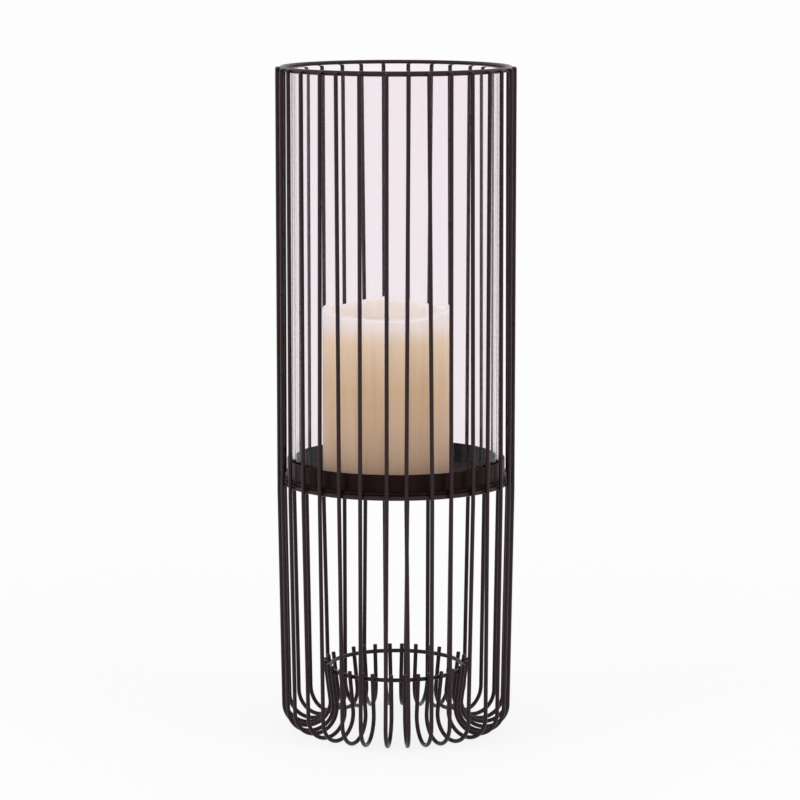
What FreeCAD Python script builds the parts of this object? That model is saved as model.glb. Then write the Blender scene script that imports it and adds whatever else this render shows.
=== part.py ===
import FreeCAD, Part
import math
import os
import Sketcher

# Hurricane candle lantern: a round cage of bent upright wires, welded outside three wire rings.
# The middle ring carries a sheet-metal tray. An open glass cylinder stands inside the tray's collar,
# and a pillar candle stands on the tray's floor inside the glass.
# Frame: +Z up, origin on the cage's axis, on the surface that the bent feet stand on. Millimetres.

Vector = FreeCAD.Vector
UP = Vector(0, 0, 1)

# Driving sizes: name, value, meaning. Angles are in degrees.
SIZES = [
    ("cage_diameter", "140.0", "across the outside of the upright wires"),
    ("overall_height", "391.5", "floor to the top of the top ring"),
    ("rib_count", "32", "upright wires round the cage"),
    ("rib_wire", "2.4", "diameter of an upright wire"),
    ("rib_end_chamfer", "0.3", "deburred edge on both cut ends of a wire"),
    ("rib_end_drop", "1.0", "cut tops of the wires below the top of the top ring"),
    ("weld_gap", "0.05", "space left at each weld between wires, rings and tray"),
    ("top_ring_wire", "3.0", "diameter of the top ring's wire"),
    ("tray_ring_wire", "3.0", "diameter of the wire of the ring under the tray"),
    ("foot_ring_wire", "2.4", "diameter of the foot ring's wire"),
    ("tray_height", "150.7", "floor to the underside of the tray"),
    ("knee_drop", "4.0", "from the tray ring down to where the wires start to lean in"),
    ("knee_radius", "200.0", "gentle bend where the lean starts"),
    ("foot_lean", "1.0", "inward lean of the wires below the tray"),
    ("bend_radius", "13.8", "centre line of the bend that a wire stands on"),
    ("hook_lean", "7.5", "outward lean of a wire's short inner leg"),
    ("hook_height", "40.6", "floor to the cut end of the inner leg"),
    ("hook_end_rise", "3.8", "cut end of the inner leg above the foot ring's centre line"),
    ("tray_rib_gap", "0.3", "tray flange to the upright wires"),
    ("flange_reach", "3.4", "tray flange beyond the outside of the collar"),
    ("flange_thickness", "1.8", "folded edge of the tray flange"),
    ("flange_cove", "1.2", "hollow curve from the flange up into the collar"),
    ("tray_sheet", "0.8", "sheet thickness of the tray's floor and collar"),
    ("tray_corner", "0.8", "bend inside the tray, between floor and collar"),
    ("collar_height", "11.5", "underside of the tray to the top of its collar"),
    ("glass_gap", "0.9", "glass to the inside of the collar, all round"),
    ("glass_wall", "2.5", "thickness of the glass"),
    ("glass_rim_drop", "2.0", "rim of the glass below the top of the top ring"),
    ("glass_ground_edge", "0.4", "ground edges at the foot of the glass"),
    ("candle_diameter", "76.0", "pillar candle"),
    ("candle_height", "100.0", "pillar candle at the sides of its rim"),
    ("candle_shift", "5.0", "candle off the cage's axis, towards -X"),
    ("candle_base_chamfer", "1.5", "lower edge of the candle"),
    ("rim_front_drop", "4.2", "front of the candle's melted rim below its sides"),
    ("rim_back_rise", "1.5", "back of the candle's melted rim above its sides"),
    ("rim_width", "4.5", "wax left standing round the melted pool"),
    ("pool_depth", "13.0", "floor of the pool below the sides of the rim"),
    ("pool_corner", "8.0", "hollow curve between the pool's floor and its wall"),
    ("cut_overrun", "5.0", "how far a cutting outline runs past the wax"),
    ("wick_diameter", "2.4", "cotton wick"),
    ("wick_gap", "0.05", "wick to the wax round it"),
    ("wick_stand", "3.0", "straight part of the wick above the pool's floor"),
    ("wick_curl_radius", "14.0", "curl at the burnt end of the wick"),
    ("wick_curl_angle", "20.0", "turn of that curl"),
]

# Places that several pieces share, written from the driving sizes
FRONT = "-90 deg"
RIB_STEP = "360 deg / sizes.rib_count"
RIB_AXIS = "(sizes.cage_diameter - sizes.rib_wire) / 2"
RIB_INSIDE = "(sizes.cage_diameter / 2 - sizes.rib_wire)"
RIB_TOP = "(sizes.overall_height - sizes.rib_end_drop)"
TOP_RING_HEIGHT = "(sizes.overall_height - sizes.top_ring_wire / 2)"
TRAY_RING_HEIGHT = "(sizes.tray_height - sizes.weld_gap - sizes.tray_ring_wire / 2)"
FOOT_RING_HEIGHT = "(sizes.hook_height - sizes.hook_end_rise)"
KNEE_HEIGHT = f"({TRAY_RING_HEIGHT} - sizes.knee_drop)"
BEND_HEIGHT = "(sizes.bend_radius + sizes.rib_wire / 2)"
LEAN = "(sizes.foot_lean * 1 deg)"
HOOK = "(sizes.hook_lean * 1 deg)"
KNEE_END_HEIGHT = f"({KNEE_HEIGHT} - sizes.knee_radius * sin({LEAN}))"
LEG_DROP = f"({KNEE_END_HEIGHT} - {BEND_HEIGHT} + sizes.bend_radius * sin({LEAN}))"
LEG_AXIS = f"({RIB_AXIS} - sizes.knee_radius * (1 - cos({LEAN})) - {LEG_DROP} * tan({LEAN}))"
BEND_AXIS = f"({LEG_AXIS} - sizes.bend_radius * cos({LEAN}))"
HOOK_RISE = f"({FOOT_RING_HEIGHT} - {BEND_HEIGHT} - sizes.bend_radius * sin({HOOK}))"
HOOK_AXIS = f"({BEND_AXIS} - sizes.bend_radius * cos({HOOK}) + {HOOK_RISE} * tan({HOOK}))"
FLANGE_RADIUS = f"({RIB_INSIDE} - sizes.tray_rib_gap)"
COLLAR_OUTSIDE = f"({FLANGE_RADIUS} - sizes.flange_reach)"
COLLAR_INSIDE = f"({COLLAR_OUTSIDE} - sizes.tray_sheet)"
TRAY_FLOOR = "(sizes.tray_height + sizes.tray_sheet)"
GLASS_RADIUS = f"({COLLAR_INSIDE} - sizes.glass_gap)"
GLASS_HEIGHT = f"(sizes.overall_height - sizes.glass_rim_drop - {TRAY_FLOOR})"
CANDLE_RADIUS = "(sizes.candle_diameter / 2)"
POOL_RADIUS = f"({CANDLE_RADIUS} - sizes.rim_width)"
POOL_FLOOR = "(sizes.candle_height - sizes.pool_depth)"
ABOVE_RIM = "(sizes.candle_height + sizes.rim_back_rise + sizes.cut_overrun)"

# Sketch references: the sketch's own origin point and axes, and the parts of an edge
ORIGIN = (-1, 1)
LEVEL_AXIS = -1
UPRIGHT_AXIS = -2
START = 1
END = 2
CENTRE = 3

FULL_TURN = 360.0
HALF_TURN = FULL_TURN / 2
QUARTER_TURN = FULL_TURN / 4


def fill_sheet(doc):
    """Write the driving sizes into the sheet, one named cell each."""
    sheet = doc.addObject("Spreadsheet::Sheet", "sizes")
    for row, (name, number, meaning) in enumerate(SIZES, start=1):
        sheet.set(f"A{row}", name)
        sheet.set(f"B{row}", number)
        sheet.setAlias(f"B{row}", name)
        sheet.set(f"C{row}", meaning)
    doc.recompute()
    return sheet


doc = FreeCAD.newDocument("hurricane_lantern")
sheet = fill_sheet(doc)


def value(expression):
    """Number that an expression gives with the sheet as it stands."""
    result = sheet.evalExpression(expression)
    return float(getattr(result, "Value", result))


def new_body(label):
    """Empty body for one piece."""
    body = doc.addObject("PartDesign::Body", label)
    body.Label = label
    return body


def origin_feature(body, role):
    """Axis or plane of a body's own origin."""
    return next(feature for feature in body.Origin.OriginFeatures if feature.Role == role)


def new_sketch(body, role, name):
    """Sketch on one of the body's origin planes."""
    sketch = body.newObject("Sketcher::SketchObject", name)
    sketch.AttachmentSupport = (origin_feature(body, role), "")
    sketch.MapMode = "FlatFace"
    return sketch


def add_line(sketch, start, end):
    """Straight edge between two (x, y) points of a sketch."""
    return sketch.addGeometry(Part.LineSegment(Vector(*start, 0), Vector(*end, 0)))


def add_arc(sketch, centre, radius, first, last):
    """Arc, anticlockwise between two angles in degrees."""
    circle = Part.Circle(Vector(*centre, 0), UP, radius)
    return sketch.addGeometry(Part.ArcOfCircle(circle, math.radians(first), math.radians(last)))


def add_circle(sketch, centre, radius):
    """Full circle."""
    return sketch.addGeometry(Part.Circle(Vector(*centre, 0), UP, radius))


def constrain(sketch, kind, *references):
    """Constraint with no size."""
    return sketch.addConstraint(Sketcher.Constraint(kind, *references))


def dimension(sketch, name, kind, references, expression):
    """Named dimension of a sketch, tied to the sheet."""
    start = value(expression)
    if kind == "Angle":
        start = math.radians(start)
    index = sketch.addConstraint(Sketcher.Constraint(kind, *references, start))
    sketch.renameConstraint(index, name)
    sketch.setExpression(f"Constraints.{name}", expression)


def from_axis(sketch, name, edge, point, expression):
    """Distance of a point to the right of the sketch's origin."""
    dimension(sketch, name, "DistanceX", (*ORIGIN, edge, point), expression)


def from_base(sketch, name, edge, point, expression):
    """Height of a point above the sketch's origin."""
    dimension(sketch, name, "DistanceY", (*ORIGIN, edge, point), expression)


def join_smoothly(sketch, joints):
    """Tangent joints, each (edge, end, edge, end)."""
    for joint in joints:
        constrain(sketch, "Tangent", *joint)


def join_corners(sketch, joints):
    """Plain corners, each (edge, end, edge, end)."""
    for joint in joints:
        constrain(sketch, "Coincident", *joint)


def revolve(body, sketch, kind, name):
    """Full turn of a sketch about the body's upright axis."""
    feature = body.newObject(kind, name)
    feature.Profile = sketch
    feature.ReferenceAxis = (origin_feature(body, "Z_Axis"), [""])
    feature.Angle = FULL_TURN
    return feature


def sweep(body, profile, spine, name):
    """Round section carried along a path."""
    pipe = body.newObject("PartDesign::AdditivePipe", name)
    pipe.Profile = profile
    pipe.Spine = spine
    return pipe


def chamfer_edges(body, feature, edges, name, expression):
    """Chamfer on chosen edges of the feature before it."""
    chamfer = body.newObject("PartDesign::Chamfer", name)
    chamfer.Base = (feature, edges)
    chamfer.setExpression("Size", expression)
    return chamfer


def edge_names(shape, wanted):
    """Names of the edges of a shape that pass a test."""
    return [f"Edge{number}" for number, edge in enumerate(shape.Edges, start=1) if wanted(edge)]


def flat_face_edges(shape):
    """Names of the edges round the flat faces of a shape, such as the cut ends of a wire."""
    rims = [edge for face in shape.Faces if isinstance(face.Surface, Part.Plane) for edge in face.Edges]
    return edge_names(shape, lambda edge: any(edge.isSame(rim) for rim in rims))


def draw_rib_path(sketch):
    """Centre line of one wire: upright, gentle knee, leaning leg, round foot, short inner leg."""
    axis = value(RIB_AXIS)
    top = value(RIB_TOP)
    lean = math.radians(value("sizes.foot_lean"))
    hook = math.radians(value("sizes.hook_lean"))
    knee_radius = value("sizes.knee_radius")
    bend_radius = value("sizes.bend_radius")
    knee = (axis, value(KNEE_HEIGHT))
    knee_end = (axis - knee_radius * (1 - math.cos(lean)), knee[1] - knee_radius * math.sin(lean))
    bend = (value(BEND_AXIS), value(BEND_HEIGHT))
    bend_start = (bend[0] + bend_radius * math.cos(lean), bend[1] - bend_radius * math.sin(lean))
    bend_end = (bend[0] - bend_radius * math.cos(hook), bend[1] + bend_radius * math.sin(hook))
    tip_height = value("sizes.hook_height")
    tip = (bend_end[0] + (tip_height - bend_end[1]) * math.tan(hook), tip_height)

    upright = add_line(sketch, (axis, top), knee)
    knee_arc = add_arc(sketch, (axis - knee_radius, knee[1]), knee_radius, -math.degrees(lean), 0)
    leg = add_line(sketch, knee_end, bend_start)
    foot = add_arc(sketch, bend, bend_radius, HALF_TURN - math.degrees(hook), FULL_TURN - math.degrees(lean))
    inner_leg = add_line(sketch, bend_end, tip)

    constrain(sketch, "Vertical", upright)
    join_smoothly(sketch, [
        (upright, END, knee_arc, END),
        (knee_arc, START, leg, START),
        (leg, END, foot, END),
        (foot, START, inner_leg, START),
    ])
    from_axis(sketch, "axis_radius", upright, START, RIB_AXIS)
    from_base(sketch, "top_height", upright, START, RIB_TOP)
    from_base(sketch, "knee_height", upright, END, KNEE_HEIGHT)
    dimension(sketch, "knee_radius", "Radius", (knee_arc,), "sizes.knee_radius")
    dimension(sketch, "leg_lean", "Angle", (leg,), f"-90 deg - {LEAN}")
    dimension(sketch, "foot_radius", "Radius", (foot,), "sizes.bend_radius")
    from_base(sketch, "foot_height", foot, CENTRE, BEND_HEIGHT)
    dimension(sketch, "inner_lean", "Angle", (inner_leg,), f"90 deg - {HOOK}")
    from_base(sketch, "tip_height", inner_leg, END, "sizes.hook_height")


def make_rib(number):
    """One upright wire, turned to its place half a step off the front."""
    body = new_body(f"rib_{number:02d}")
    path = new_sketch(body, "XZ_Plane", f"rib_path_{number:02d}")
    draw_rib_path(path)
    section = new_sketch(body, "XY_Plane", f"rib_section_{number:02d}")
    section.setExpression("AttachmentOffset.Base.z", RIB_TOP)
    circle = add_circle(section, (value(RIB_AXIS), 0), value("sizes.rib_wire") / 2)
    constrain(section, "PointOnObject", circle, CENTRE, LEVEL_AXIS)
    from_axis(section, "axis_radius", circle, CENTRE, RIB_AXIS)
    dimension(section, "wire", "Diameter", (circle,), "sizes.rib_wire")
    wire = sweep(body, section, path, f"rib_wire_{number:02d}")
    doc.recompute()
    chamfer_edges(body, wire, flat_face_edges(wire.Shape), f"rib_ends_{number:02d}", "sizes.rib_end_chamfer")
    body.Placement = FreeCAD.Placement(Vector(), FreeCAD.Rotation(UP, HALF_TURN))
    body.setExpression("Placement.Rotation.Angle", f"{FRONT} + ({number} - 1 / 2) * {RIB_STEP}")
    return body


def make_ring(label, wire, radius, height):
    """Closed wire ring, level, centred on the cage's axis."""
    ring = doc.addObject("Part::Torus", label)
    ring.Label = label
    ring.setExpression("Radius1", radius)
    ring.setExpression("Radius2", f"{wire} / 2")
    ring.setExpression("Placement.Base.z", height)
    return ring


def make_rings():
    """Top ring, ring under the tray and foot ring, all welded inside the wires."""
    inside = f"({RIB_INSIDE} - sizes.weld_gap)"
    foot_spacing = "((sizes.rib_wire + sizes.foot_ring_wire) / 2 + sizes.weld_gap)"
    top_radius = f"{inside} - sizes.top_ring_wire / 2"
    tray_radius = f"{inside} - sizes.tray_ring_wire / 2"
    foot_radius = f"{HOOK_AXIS} - {foot_spacing} / cos({HOOK})"
    return [
        make_ring("top_ring", "sizes.top_ring_wire", top_radius, TOP_RING_HEIGHT),
        make_ring("tray_ring", "sizes.tray_ring_wire", tray_radius, TRAY_RING_HEIGHT),
        make_ring("foot_ring", "sizes.foot_ring_wire", foot_radius, FOOT_RING_HEIGHT),
    ]


def make_tray():
    """Pressed dish: flat floor, upright collar with a round lip, folded flange on the ring below."""
    body = new_body("tray")
    sketch = new_sketch(body, "XZ_Plane", "tray_profile")
    sheet_thickness = value("sizes.tray_sheet")
    flange = value("sizes.flange_thickness")
    nose = value(FLANGE_RADIUS) - flange / 2
    outside = value(COLLAR_OUTSIDE)
    inside = value(COLLAR_INSIDE)
    cove = value("sizes.flange_cove")
    corner = value("sizes.tray_corner")
    lip = value("sizes.collar_height") - sheet_thickness / 2

    underside = add_line(sketch, (0, 0), (nose, 0))
    nose_arc = add_arc(sketch, (nose, flange / 2), flange / 2, -QUARTER_TURN, QUARTER_TURN)
    flange_top = add_line(sketch, (nose, flange), (outside + cove, flange))
    cove_arc = add_arc(sketch, (outside + cove, flange + cove), cove, HALF_TURN, FULL_TURN - QUARTER_TURN)
    outer_wall = add_line(sketch, (outside, flange + cove), (outside, lip))
    lip_arc = add_arc(sketch, (outside - sheet_thickness / 2, lip), sheet_thickness / 2, 0, HALF_TURN)
    inner_wall = add_line(sketch, (inside, lip), (inside, sheet_thickness + corner))
    corner_arc = add_arc(sketch, (inside - corner, sheet_thickness + corner), corner, -QUARTER_TURN, 0)
    floor = add_line(sketch, (inside - corner, sheet_thickness), (0, sheet_thickness))
    middle = add_line(sketch, (0, sheet_thickness), (0, 0))

    for edge in (underside, flange_top, floor):
        constrain(sketch, "Horizontal", edge)
    for edge in (outer_wall, inner_wall, middle):
        constrain(sketch, "Vertical", edge)
    join_smoothly(sketch, [
        (underside, END, nose_arc, START),
        (nose_arc, END, flange_top, START),
        (flange_top, END, cove_arc, END),
        (cove_arc, START, outer_wall, START),
        (outer_wall, END, lip_arc, START),
        (lip_arc, END, inner_wall, START),
        (inner_wall, END, corner_arc, END),
        (corner_arc, START, floor, START),
    ])
    join_corners(sketch, [(floor, END, middle, START), (middle, END, underside, START)])
    constrain(sketch, "Coincident", underside, START, *ORIGIN)
    from_axis(sketch, "nose_radius", underside, END, f"{FLANGE_RADIUS} - sizes.flange_thickness / 2")
    from_base(sketch, "flange_thickness", flange_top, START, "sizes.flange_thickness")
    from_axis(sketch, "collar_outside", outer_wall, END, COLLAR_OUTSIDE)
    from_axis(sketch, "collar_inside", inner_wall, START, COLLAR_INSIDE)
    from_base(sketch, "lip_height", outer_wall, END, "sizes.collar_height - sizes.tray_sheet / 2")
    from_base(sketch, "floor_thickness", middle, START, "sizes.tray_sheet")
    dimension(sketch, "cove", "Radius", (cove_arc,), "sizes.flange_cove")
    dimension(sketch, "corner", "Radius", (corner_arc,), "sizes.tray_corner")
    revolve(body, sketch, "PartDesign::Revolution", "tray_dish")
    body.setExpression("Placement.Base.z", "sizes.tray_height")
    return body


def make_glass():
    """Open glass cylinder with a round rim and a ground foot."""
    body = new_body("glass_cylinder")
    sketch = new_sketch(body, "XZ_Plane", "glass_profile")
    wall = value("sizes.glass_wall")
    outside = value(GLASS_RADIUS)
    shoulder = value(GLASS_HEIGHT) - wall / 2

    foot = add_line(sketch, (outside - wall, 0), (outside, 0))
    outer = add_line(sketch, (outside, 0), (outside, shoulder))
    rim = add_arc(sketch, (outside - wall / 2, shoulder), wall / 2, 0, HALF_TURN)
    inner = add_line(sketch, (outside - wall, shoulder), (outside - wall, 0))

    constrain(sketch, "Horizontal", foot)
    constrain(sketch, "Vertical", outer)
    constrain(sketch, "Vertical", inner)
    join_smoothly(sketch, [(outer, END, rim, START), (rim, END, inner, START)])
    join_corners(sketch, [(foot, END, outer, START), (inner, END, foot, START)])
    constrain(sketch, "PointOnObject", foot, START, LEVEL_AXIS)
    from_axis(sketch, "outside", outer, START, GLASS_RADIUS)
    dimension(sketch, "wall", "DistanceX", (foot, START, foot, END), "sizes.glass_wall")
    from_base(sketch, "shoulder", outer, END, f"{GLASS_HEIGHT} - sizes.glass_wall / 2")
    tube = revolve(body, sketch, "PartDesign::Revolution", "glass_tube")
    doc.recompute()
    chamfer_edges(body, tube, flat_face_edges(tube.Shape), "glass_foot", "sizes.glass_ground_edge")
    body.setExpression("Placement.Base.z", TRAY_FLOOR)
    return body


def draw_rim_cut(sketch):
    """Outline above the melted rim, seen from the side: low in front, crowned, high at the back."""
    radius = value(CANDLE_RADIUS)
    height = value("sizes.candle_height")
    front = height - value("sizes.rim_front_drop")
    back = height + value("sizes.rim_back_rise")
    beyond = f"{CANDLE_RADIUS} + sizes.cut_overrun"
    edge = value(beyond)
    above = value(ABOVE_RIM)

    crown_points = [Vector(radius, back, 0), Vector(0, height, 0), Vector(-radius, front, 0)]
    crown = sketch.addGeometry(Part.Arc(*crown_points))
    front_step = add_line(sketch, (-radius, front), (-edge, front))
    front_side = add_line(sketch, (-edge, front), (-edge, above))
    top = add_line(sketch, (-edge, above), (edge, above))
    back_side = add_line(sketch, (edge, above), (edge, back))
    back_step = add_line(sketch, (edge, back), (radius, back))
    middle = sketch.addGeometry(Part.Point(Vector(0, height, 0)), True)

    for line in (front_step, top, back_step):
        constrain(sketch, "Horizontal", line)
    for line in (front_side, back_side):
        constrain(sketch, "Vertical", line)
    join_corners(sketch, [
        (crown, END, front_step, START),
        (front_step, END, front_side, START),
        (front_side, END, top, START),
        (top, END, back_side, START),
        (back_side, END, back_step, START),
        (back_step, END, crown, START),
    ])
    constrain(sketch, "PointOnObject", middle, START, UPRIGHT_AXIS)
    constrain(sketch, "PointOnObject", middle, START, crown)
    from_base(sketch, "sides", middle, START, "sizes.candle_height")
    from_axis(sketch, "back_radius", crown, START, CANDLE_RADIUS)
    dimension(sketch, "front_radius", "DistanceX", (crown, END, *ORIGIN), CANDLE_RADIUS)
    from_base(sketch, "back", crown, START, "sizes.candle_height + sizes.rim_back_rise")
    from_base(sketch, "front", crown, END, "sizes.candle_height - sizes.rim_front_drop")
    from_base(sketch, "above", top, START, ABOVE_RIM)
    from_axis(sketch, "back_edge", top, END, beyond)
    dimension(sketch, "front_edge", "DistanceX", (top, START, *ORIGIN), beyond)


def draw_pool(sketch):
    """Half outline of the melted pool: level floor, hollow corner, upright wall."""
    radius = value(POOL_RADIUS)
    floor_height = value(POOL_FLOOR)
    corner = value("sizes.pool_corner")
    above = value(ABOVE_RIM)

    floor = add_line(sketch, (0, floor_height), (radius - corner, floor_height))
    corner_arc = add_arc(sketch, (radius - corner, floor_height + corner), corner, -QUARTER_TURN, 0)
    wall = add_line(sketch, (radius, floor_height + corner), (radius, above))
    top = add_line(sketch, (radius, above), (0, above))
    middle = add_line(sketch, (0, above), (0, floor_height))

    for line in (floor, top):
        constrain(sketch, "Horizontal", line)
    for line in (wall, middle):
        constrain(sketch, "Vertical", line)
    join_smoothly(sketch, [(floor, END, corner_arc, START), (corner_arc, END, wall, START)])
    join_corners(sketch, [
        (wall, END, top, START),
        (top, END, middle, START),
        (middle, END, floor, START),
    ])
    constrain(sketch, "PointOnObject", floor, START, UPRIGHT_AXIS)
    from_base(sketch, "floor", floor, START, POOL_FLOOR)
    dimension(sketch, "corner", "Radius", (corner_arc,), "sizes.pool_corner")
    from_axis(sketch, "radius", wall, END, POOL_RADIUS)
    from_base(sketch, "above", wall, END, ABOVE_RIM)


def stand_on_tray(body):
    """Place the candle and its wick on the tray's floor, off the axis."""
    body.setExpression("Placement.Base.x", "-sizes.candle_shift")
    body.setExpression("Placement.Base.z", TRAY_FLOOR)


def make_candle():
    """Wax pillar, burnt down a little: crowned, uneven rim round a melted pool, bored for the wick."""
    body = new_body("candle")
    outline = new_sketch(body, "XY_Plane", "candle_outline")
    circle = add_circle(outline, (0, 0), value(CANDLE_RADIUS))
    constrain(outline, "Coincident", circle, CENTRE, *ORIGIN)
    dimension(outline, "diameter", "Diameter", (circle,), "sizes.candle_diameter")
    pillar = body.newObject("PartDesign::Pad", "candle_pillar")
    pillar.Profile = outline
    pillar.setExpression("Length", "sizes.candle_height + sizes.rim_back_rise")
    doc.recompute()
    base_height = value("sizes.candle_base_chamfer")
    base_edges = edge_names(pillar.Shape, lambda edge: edge.CenterOfMass.z < base_height)
    base = chamfer_edges(body, pillar, base_edges, "candle_base", "sizes.candle_base_chamfer")
    doc.recompute()
    rim_outline = new_sketch(body, "YZ_Plane", "candle_rim_outline")
    draw_rim_cut(rim_outline)
    rim = body.newObject("PartDesign::Pocket", "candle_rim")
    rim.Profile = rim_outline
    rim.SideType = "Symmetric"
    rim.Type = "ThroughAll"
    doc.recompute()
    pool_outline = new_sketch(body, "XZ_Plane", "candle_pool_outline")
    draw_pool(pool_outline)
    pool = revolve(body, pool_outline, "PartDesign::Groove", "candle_pool")
    doc.recompute()
    bore_outline = new_sketch(body, "XY_Plane", "candle_bore_outline")
    bore_circle = add_circle(bore_outline, (0, 0), value("sizes.wick_diameter / 2 + sizes.wick_gap"))
    constrain(bore_outline, "Coincident", bore_circle, CENTRE, *ORIGIN)
    dimension(bore_outline, "bore", "Radius", (bore_circle,), "sizes.wick_diameter / 2 + sizes.wick_gap")
    bore = body.newObject("PartDesign::Pocket", "candle_bore")
    bore.Profile = bore_outline
    bore.Type = "ThroughAll"
    bore.Reversed = True
    doc.recompute()
    steps = [pillar, base, rim, pool, bore]
    for before, after in zip(steps, steps[1:]):
        if not after.Shape.Volume < before.Shape.Volume:
            raise RuntimeError(f"{after.Label} cuts nothing away")
    stand_on_tray(body)
    return body


def make_wick():
    """Cotton wick: through the wax, a little above the pool, its burnt end curled over."""
    body = new_body("wick")
    path = new_sketch(body, "XZ_Plane", "wick_path")
    bend_height = f"({POOL_FLOOR} + sizes.wick_stand)"
    height = value(bend_height)
    radius = value("sizes.wick_curl_radius")
    turn = value("sizes.wick_curl_angle")
    stem = add_line(path, (0, 0), (0, height))
    curl = add_arc(path, (-radius, height), radius, 0, turn)
    join_smoothly(path, [(stem, END, curl, START)])
    constrain(path, "Coincident", stem, START, *ORIGIN)
    constrain(path, "Vertical", stem)
    dimension(path, "stem", "DistanceY", (stem, START, stem, END), bend_height)
    dimension(path, "curl_radius", "Radius", (curl,), "sizes.wick_curl_radius")
    dimension(path, "curl_length", "DistanceY", (stem, END, curl, END),
              "sizes.wick_curl_radius * sin(sizes.wick_curl_angle * 1 deg)")
    section = new_sketch(body, "XY_Plane", "wick_section")
    circle = add_circle(section, (0, 0), value("sizes.wick_diameter") / 2)
    constrain(section, "Coincident", circle, CENTRE, *ORIGIN)
    dimension(section, "wick", "Diameter", (circle,), "sizes.wick_diameter")
    sweep(body, section, path, "wick_cord")
    stand_on_tray(body)
    return body


def check(pieces):
    """Stop if any step of the model failed or a piece isn't one sound solid."""
    for item in doc.Objects:
        if "Invalid" in item.State or "Error" in item.State:
            raise RuntimeError(f"{item.Label} failed: {item.State}")
    for piece in pieces:
        if piece.Shape.isNull() or not piece.Shape.isValid() or len(piece.Shape.Solids) != 1:
            raise RuntimeError(f"{piece.Label} is not one sound solid")


def main():
    pieces = [make_rib(number) for number in range(1, round(value("sizes.rib_count")) + 1)]
    pieces += make_rings()
    pieces += [make_tray(), make_glass(), make_candle(), make_wick()]
    doc.recompute()
    check(pieces)
    os.makedirs("parts", exist_ok=True)
    for piece in pieces:
        piece.Shape.exportStep(f"parts/{piece.Label}.step")


main()
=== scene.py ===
import math
import random

import bmesh
import bpy
from bpy.props import FloatProperty, FloatVectorProperty, IntProperty, PointerProperty
from mathutils import Matrix, Vector


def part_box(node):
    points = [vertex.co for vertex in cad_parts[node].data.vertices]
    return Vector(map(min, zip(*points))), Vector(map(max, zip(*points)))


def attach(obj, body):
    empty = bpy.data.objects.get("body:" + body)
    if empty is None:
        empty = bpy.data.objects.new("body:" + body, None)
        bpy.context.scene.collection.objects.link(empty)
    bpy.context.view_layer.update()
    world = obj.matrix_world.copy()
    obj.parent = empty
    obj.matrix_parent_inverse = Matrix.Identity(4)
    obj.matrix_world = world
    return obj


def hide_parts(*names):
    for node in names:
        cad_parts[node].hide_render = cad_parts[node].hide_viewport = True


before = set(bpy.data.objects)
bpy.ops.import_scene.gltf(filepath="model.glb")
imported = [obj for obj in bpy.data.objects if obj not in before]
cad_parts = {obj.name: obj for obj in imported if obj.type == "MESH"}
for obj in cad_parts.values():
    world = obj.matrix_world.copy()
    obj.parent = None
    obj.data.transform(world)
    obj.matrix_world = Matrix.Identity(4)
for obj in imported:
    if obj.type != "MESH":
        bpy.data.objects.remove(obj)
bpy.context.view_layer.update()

bl_info = {
    "name": "Hurricane Candle Lantern",
    "version": (1, 0, 0),
    "blender": (4, 5, 0),
    "location": "View3D > Sidebar > Lantern",
    "description": "Dresses a wire-cage lantern: wires, rings, tray, glass, candle and studio stage",
    "category": "Add Mesh",
}

MM = 0.001
RIB_NODES = sorted(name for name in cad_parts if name.startswith("rib_"))
RIB_STEP = math.tau / len(RIB_NODES)
RIB_REACH = max(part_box(node)[1].x for node in RIB_NODES)
RIB_TOP = max(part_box(node)[1].z for node in RIB_NODES)
FRONT = -math.pi / 2
ORIGIN = Vector((0.0, 0.0, 0.0))
UP = Vector((0.0, 0.0, 1.0))
ACROSS = Vector((0.0, 1.0, 0.0))
SAME_PLACE = 0.01 * MM
SEAT_LIMIT = 3.0 * MM
SHARP_EDGE = math.radians(40.0)
FULL_ROUND = 0.48
WELD_FLATNESS = 0.55
SLIP_SEED = 1395
BODY_WAX_AT = 0.55
SHOULDER_WAX_AT = 0.8
RIM_WAX_AT = 0.9


def length(name, description, millimetres):
    """Length property, given in millimetres and kept in metres."""
    return FloatProperty(name=name, description=description, default=millimetres * MM, min=0.0,
                         unit="LENGTH", precision=5)


def angle(name, description, degrees):
    """Angle property, given in degrees and kept in radians."""
    return FloatProperty(name=name, description=description, default=math.radians(degrees), subtype="ANGLE")


def colour(name, description, red, green, blue):
    """Linear colour property with full alpha."""
    return FloatVectorProperty(name=name, description=description, default=(red, green, blue, 1.0), size=4,
                               min=0.0, max=1.0, subtype="COLOR")


def share(name, description, default):
    """Number from 0 to 1."""
    return FloatProperty(name=name, description=description, default=default, min=0.0, max=1.0,
                         subtype="FACTOR")


def count(name, description, default, least, most):
    """Whole number between two limits."""
    return IntProperty(name=name, description=description, default=default, min=least, max=most)


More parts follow.
